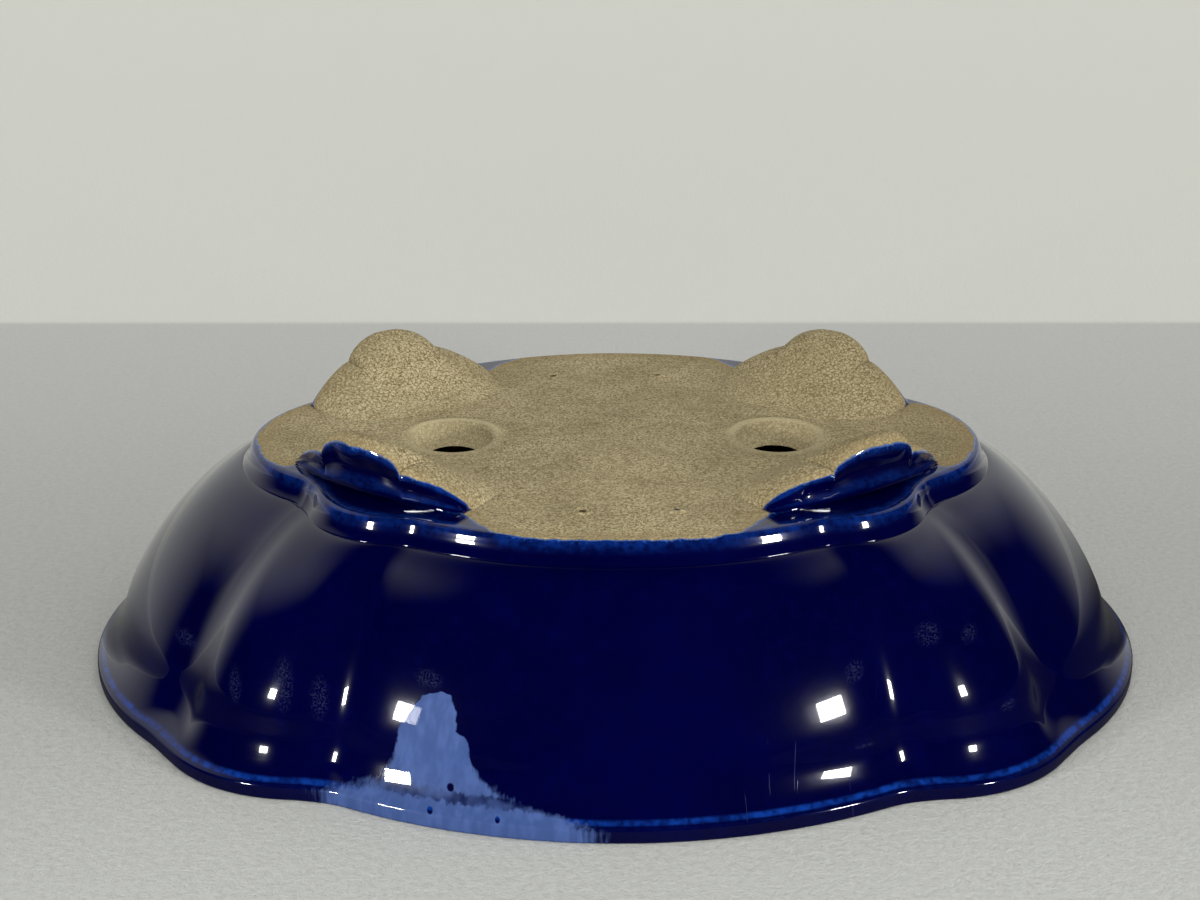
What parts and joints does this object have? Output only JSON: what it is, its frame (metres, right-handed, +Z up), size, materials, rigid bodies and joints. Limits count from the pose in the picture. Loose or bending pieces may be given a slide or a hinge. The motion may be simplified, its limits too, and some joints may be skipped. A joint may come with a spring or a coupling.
{
  "type": "mokko bonsai pot",
  "caption": "Shallow lobed bonsai pot in glossy cobalt glaze over bare stoneware, upside down on its rim, with cloud feet, drain holes and wire holes.",
  "frame": {"origin": "middle of the rim's face, on the surface that the upside-down pot stands on", "axes": "+X along the pot, +Y across it to the back, +Z up from the rim to the feet; in use the pot is turned over about X"},
  "size_m": [0.3, 0.227, 0.0786],
  "materials": {
    "cobalt_glaze": "glossy cobalt-blue glaze, brighter where it is thin on edges",
    "bare_clay": "unglazed grey-tan stoneware with a fine crackled skin"
  },
  "bodies": {
    "root": {"rim_lip": "cobalt_glaze", "bowl_wall": "cobalt_glaze", "base_band": "cobalt_glaze", "floor_slab": "bare_clay", "cloud_foot_front_left": "bare_clay", "cloud_foot_front_right": "bare_clay", "cloud_foot_back_left": "bare_clay", "cloud_foot_back_right": "bare_clay"}
  },
  "joints": []
}
